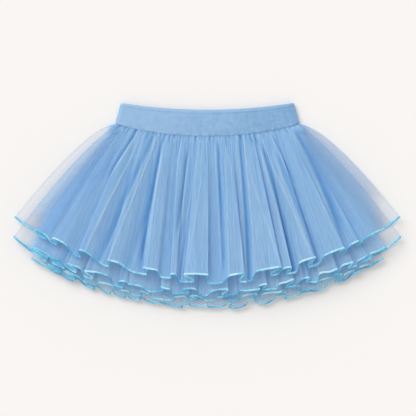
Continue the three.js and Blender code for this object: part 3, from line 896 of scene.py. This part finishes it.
def layerCover(cover, x, halfWidth, share, tone, steep):
    # little cloth in the sheer band beside the outline, more in the gathered body and in
    # the valleys, where the cloth lies doubled, and again less at the hem. A steep wall is
    # seen edge on and hides more.
    shape = coverShape
    inset = halfWidth - np.abs(x)
    band = mix(cover["bandSeam"], cover["bandHem"], share)
    body = smoothStep(band, band + cover["fade"] * smoothStep(*shape["fadeFrom"], share), inset)
    body = np.maximum(body, 1 - smoothStep(*shape["gatheredTo"], share))
    sheer = cover["sheer"] * np.where(x > 0, cover["rightSide"], 1)
    covered = mix(sheer, cover["body"], body) + body * shape["valleys"] * np.clip(-tone, 0, 1)
    edgeOn = shape["steepPart"] * body * smoothStep(*shape["steepFrom"], steep)
    covered = mix(covered, shape["steepCover"], edgeOn)
    nearTip = smoothStep(*shape["tipFrom"], share)
    least, most = cover["hemBand"] - shape["tipSoft"], cover["hemBand"] + shape["tipSoft"]
    nearTip = nearTip * (1 - smoothStep(least, most, inset))
    covered = mix(covered, cover["hemSheer"], nearTip)
    covered = covered * mix(1.0, cover["hemKeeps"], smoothStep(shape["hemFrom"], 1.0, share))
    outline = bell(np.abs(x).max(axis=1, keepdims=True) - np.abs(x), shape["outlineWide"])
    covered = covered + cover["outline"] * outline
    # thin cloth takes the greyer sheer colour, partly its own and partly painted shade of the floor seen
    # through it, and on the right that painted shade reaches further into the cover
    blueFrom = tulleLook["sheerBelow"] * np.where(x > 0, cover["greyRight"], 1.0)
    return covered, np.clip(covered / blueFrom, 0, 1)


hemEdging = dict(
    width=2.5, thickness=1.0, floorClearance=0.4, around=12, squareness=0.75,
    softness=2.3,         # how softly the folds turn
    sideFrom=(0.8, 0.95), sideTone=0.3,    # the edging's painted tone near the tips, in place of the lift's
    # painted light and shade of the edging: raised stretches lighter, turns and the lower edge darker, and
    # glints of gloss along it
    liftTone=0.85, steepTone=0.8, glossTone=0.6, glossWaves=130, lowerTone=0.35,
)

# Where the rows of a sheet lie, as shares of the way from the seam to the hem
sheetRows = dict(first=-0.008, last=0.994, power=1.25, liftedFrom=0.93, stripFrom=0.985)


def hemStrip(centre, down, across):
    # a rounded bar carried along the hem: across it, powers of cosine along the cloth and
    # of sine square to it
    normal = unit(np.cross(down, across))
    angle = -2 * np.pi * np.arange(hemEdging["around"]) / hemEdging["around"]
    power = hemEdging["squareness"]
    wide = np.sign(np.cos(angle)) * np.abs(np.cos(angle)) ** power * hemEdging["width"] / 2
    thick = np.sign(np.sin(angle)) * np.abs(np.sin(angle)) ** power * hemEdging["thickness"] / 2
    bar = centre[None] + wide[:, None, None] * down[None] + thick[:, None, None] * normal[None]
    bar[..., 2] = np.maximum(bar[..., 2], hemEdging["floorClearance"])
    return bar


def tulleLayer(name, layer, tulle, satin):
    # the sheet's rows lie closer together at the seam, by a power of their even share
    lines, length = roundedLines(layer, allLines(layer), hemEdging["softness"])
    even = (np.arange(layer["rows"]) / (layer["rows"] - 1))[:, None]
    share = mix(sheetRows["first"], sheetRows["last"], even ** sheetRows["power"])
    points, tone, cover, dense = layerSurface(layer, lines, share)
    floor = hemEdging["floorClearance"] + hemEdging["thickness"] / 2
    hemPart = smoothStep(sheetRows["liftedFrom"], 1.0, share)
    points[..., 2] = mix(points[..., 2], np.maximum(points[..., 2], floor), hemPart)
    down = np.linalg.norm(np.diff(points, axis=0), axis=-1).mean(axis=1)
    rowPlaces = np.concatenate([[0], np.cumsum(down)])
    uv = clothUv(rowPlaces, layer["columns"], length)
    looks = dict(tone=tone, cover=cover, dense=dense)
    sheet = gridMesh("skirt_tulle_" + name, points, False, uv, looks)
    sheet.data.materials.append(tulle)

    hem = layerSurface(layer, lines, np.array([[sheetRows["stripFrom"]], [1.0]]))[0]
    hem[..., 2] = np.maximum(hem[..., 2], floor)
    centre = hem[1]
    across = unit(np.roll(centre, -1, axis=0) - np.roll(centre, 1, axis=0))
    stripDown = unit(hem[1] - hem[0])
    bar = hemStrip(centre, stripDown, across)
    around = np.arange(hemEdging["around"] + 1) / hemEdging["around"]
    barUv = clothUv(around * 2 * (hemEdging["width"] + hemEdging["thickness"]), layer["columns"], length)
    # painted light and shade: lighter on raised stretches, darker on the lower edge and where the hem turns
    # up or down, with painted glints of gloss along it
    lift = lines["lift"] / layer["front"]["rise"]
    steep = 1 - np.abs(across[:, 0]) ** 2
    lower = np.cos(-2 * np.pi * np.arange(hemEdging["around"]) / hemEdging["around"])[:, None]
    gloss = evenNoise(layer["columns"], hemEdging["glossWaves"], layer["seed"] + seedFor["gloss"])
    side = smoothStep(*hemEdging["sideFrom"], np.abs(centre[:, 0]) / layer["tipX"])
    barTone = mix(hemEdging["liftTone"] * lift, hemEdging["sideTone"], side)
    barTone = barTone - hemEdging["steepTone"] * steep + hemEdging["glossTone"] * gloss
    barTone = np.clip(barTone - hemEdging["lowerTone"] * lower, -1, 1)
    edging = gridMesh("skirt_edging_" + name, bar, True, barUv, dict(tone=barTone))
    edging.data.materials.append(satin)

    for piece, node, slot in ((sheet, "tulle_" + name, "tulle"), (edging, "edging_" + name, "satin")):
        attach(piece, "root")
        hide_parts(node)
    print("tulle layer", name, "hem", round(length), "mm, drop", round(rowPlaces[-1]), "mm")


# Waistband

waistband = dict(
    topHalfWidth=105.3, topEndsY=126, topDip=8.3, height=30, wall=2.8, sideFold=3.0,
    frontMiddle=6.1, backMiddle=1.5, crown=0.8,
    across=320, foldSteps=14, faceRows=44, edgeSteps=5,
    turnedEdge=0.14,      # share of the height that the turned top edge takes
    # turnedTone, grooveTone, puckerTone and wrinkleTone paint light and shade onto the relief they go with
    turnedRise=0.3, turnedTone=0.8,
    groove=0.22, grooveWide=0.012, grooveTone=0.35,
    pucker=0.35, puckers=118, puckerReach=0.13, puckerTone=0.25,
    wrinkle=0.22, topWrinkles=46, seamWrinkles=60, wrinkleTone=0.1,
    backRelief=0.15,      # part of the relief that the back has
    # edgeTone paints shade along the top edge and the seam edge, and the left of the front is painted
    # lighter
    edgeTone=0.9, leftPaintedLight=0.28, darker=0.1,
    seed=5,
    flat=(0.444, 0.032),
)


def bandLoop():
    # round the flattened loop: front from left to right, right fold, back, left fold.
    # flat is the share of the straight half width, side that of the fold, up the height.
    across = np.linspace(-1, 1, waistband["across"])
    turn = np.radians(np.linspace(90, -90, waistband["foldSteps"] + 2)[1:-1])
    one, none = np.ones_like(across), np.zeros_like(across)
    flat = np.concatenate([across, np.ones_like(turn), -across, -np.ones_like(turn)])
    side = np.concatenate([none, np.cos(turn), none, -np.cos(turn)])
    up = np.concatenate([one, np.sin(turn), -one, -np.sin(turn)])
    return flat, side, up


def bandMiddle(flat, side, up, down):
    # the middle of the wall: half width and height grow evenly from the top edge to the
    # seam, and the front is crowned by a sine of the way down
    halfWidth = mix(waistband["topHalfWidth"], seam["halfWidth"], down)
    x = flat * (halfWidth - waistband["sideFold"]) + side * waistband["sideFold"]
    part = x / halfWidth
    room = np.clip(1 - part**2, 0, 1)
    y = mix(waistband["topEndsY"] - waistband["topDip"] * room, seamLineY(part), down)
    front = waistband["frontMiddle"] + waistband["crown"] * np.sin(np.pi * np.clip(down, 0, 1)) * room
    return np.stack([x, y, mix(waistband["backMiddle"], front, 0.5 + up / 2)], axis=-1)


def bandProfile():
    # once round the wall's section: over the top edge, down the face, round the seam edge
    # and up the inside. down is the share of the height, out the offset in half walls.
    reach = waistband["wall"] / 2 / waistband["height"]
    turn = np.radians(np.linspace(-90, 90, waistband["edgeSteps"] + 2))
    face = np.linspace(reach, 1 - reach, waistband["faceRows"])[1:-1]
    down = np.concatenate([reach * (1 - np.cos(turn)), face, 1 - reach * (1 - np.cos(turn)), face[::-1]])
    out = np.concatenate([np.sin(turn), np.ones_like(face), -np.sin(turn), -np.ones_like(face)])
    return down[:, None], out[:, None]


def makeWaistband(knit):
    flat, side, up = bandLoop()
    down, out = bandProfile()
    middle = bandMiddle(flat, side, up, down)
    step = 0.01
    below = bandMiddle(flat, side, up, down + step) - bandMiddle(flat, side, up, down - step)
    along = np.roll(middle, -1, axis=1) - np.roll(middle, 1, axis=1)
    normal = unit(np.cross(below, along))
    count = flat.size
    # the turned top edge stands proud, the seam puckers, and soft wrinkles cross the face
    values = waistband
    turned = values["turnedEdge"]
    roll = values["turnedRise"] * smoothStep(0, 0.03, down)
    roll = roll * (1 - smoothStep(turned - 0.02, turned + 0.01, down))
    groove = bell(down - turned - 0.005, values["grooveWide"])
    puckers = evenNoise(count, values["puckers"], values["seed"]) * bell(1 - down, values["puckerReach"])
    topWrinkles = evenNoise(count, values["topWrinkles"], values["seed"] + 1)
    seamWrinkles = evenNoise(count, values["seamWrinkles"], values["seed"] + 2)
    wrinkles = mix(topWrinkles, seamWrinkles, down) * np.sin(np.pi * down)
    relief = roll - values["groove"] * groove + values["pucker"] * puckers + values["wrinkle"] * wrinkles
    onFront = smoothStep(0.4, 0.95, up)
    proud = np.clip(out, 0, 1) * relief * mix(values["backRelief"], 1.0, onFront)
    offset = out * values["wall"] / 2 + proud
    points = middle + normal * offset[..., None]
    # painted light and shade: the turned edge lighter, the groove and both edges darker, the puckers and
    # wrinkles lighter and darker, and the front painted lighter towards the left
    edgePaintedShade = bell(down, 0.012) + 0.2 * bell(1 - down, 0.02)
    tone = values["turnedTone"] * roll - values["grooveTone"] * groove - values["edgeTone"] * edgePaintedShade
    tone = tone + values["puckerTone"] * puckers + values["wrinkleTone"] * wrinkles
    tone = tone - values["leftPaintedLight"] * flat * onFront - values["darker"]
    tone = np.clip(np.broadcast_to(tone, points.shape[:2]), -1, 1)
    length = np.linalg.norm(along, axis=-1).mean(axis=0).sum() / 2
    rowPlaces = np.concatenate([[0], np.cumsum(np.linalg.norm(
        np.roll(points, -1, axis=0) - points, axis=-1).mean(axis=1))])
    uv = clothUv(rowPlaces, count, length)
    band = gridMesh("skirt_waistband", points, True, uv, dict(tone=tone))
    band.data.materials.append(knit)
    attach(band, "root")
    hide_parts("waistband")
    print("waistband loop", round(length), "mm")


# Studio

studio = dict(
    floorSize=6.0, floorColour=srgb(249, 246, 243),
    worldStrength=0.66, worldColour=(1.0, 1.0, 1.0, 1),
    sunStrength=1.65, sunAngle=42, sunFrom=(-0.65, 0.8, 0.9),
    cameraHeight=2.6, viewAcross=0.5138, viewX=0.74, viewY=-2.78,
)


def floorMaterial():
    material, tree = newMaterial("pale_floor")
    place = addNode(tree, "TexCoord").outputs["Object"]
    speckle = noiseOn(tree, place, 3, (1, 1, 1), 2.0)
    share = calc(tree, "MULTIPLY_ADD", speckle, 0.1, 0.5)
    paper = studio["floorColour"]
    darker = tuple(0.995 * c for c in paper[:3]) + (1,)
    colour = colourBetween(tree, share, darker, paper)
    endMaterial(tree, {"Base Color": colour, "Roughness": 0.95, "Specular IOR Level": 0.0})
    return material


def makeStudio():
    half = studio["floorSize"] / 2
    mesh = bpy.data.meshes.new("studio_floor")
    corners = [(-half, -half, 0), (half, -half, 0), (half, half, 0), (-half, half, 0)]
    mesh.from_pydata(corners, [], [(0, 1, 2, 3)])
    mesh.materials.append(floorMaterial())
    floor = addObject("studio_floor", mesh)

    sunData = bpy.data.lights.new("softKey", "SUN")
    sunData.energy = studio["sunStrength"]
    sunData.angle = np.radians(studio["sunAngle"])
    sun = addObject("softKey", sunData)
    pointing = -np.array(studio["sunFrom"])
    sun.rotation_euler = Vector(pointing).to_track_quat("-Z", "Y").to_euler()

    world = bpy.data.worlds.new("studioLight")
    world.use_nodes = True
    background = world.node_tree.nodes["Background"]
    background.inputs["Color"].default_value = studio["worldColour"]
    background.inputs["Strength"].default_value = studio["worldStrength"]
    bpy.context.scene.world = world

    cameraData = bpy.data.cameras.new("straightDown")
    cameraData.lens = cameraData.sensor_width * studio["cameraHeight"] / studio["viewAcross"]
    cameraData.clip_end = 20
    camera = addObject("straightDown", cameraData)
    camera.location = (studio["viewX"] * mm, studio["viewY"] * mm, studio["cameraHeight"])
    scene = bpy.context.scene
    scene.camera = camera
    scene.view_settings.view_transform = "Standard"
    scene.cycles.use_denoising = True
    scene.cycles.transparent_max_bounces = 32
    print("studio ready")


makeStudio()
tulleCloth = tulleMaterial()
satinCloth = satinMaterial()
makeWaistband(knitMaterial())
for layerName, layerValues in tulleLayers.items():
    tulleLayer(layerName, layerValues, tulleCloth, satinCloth)
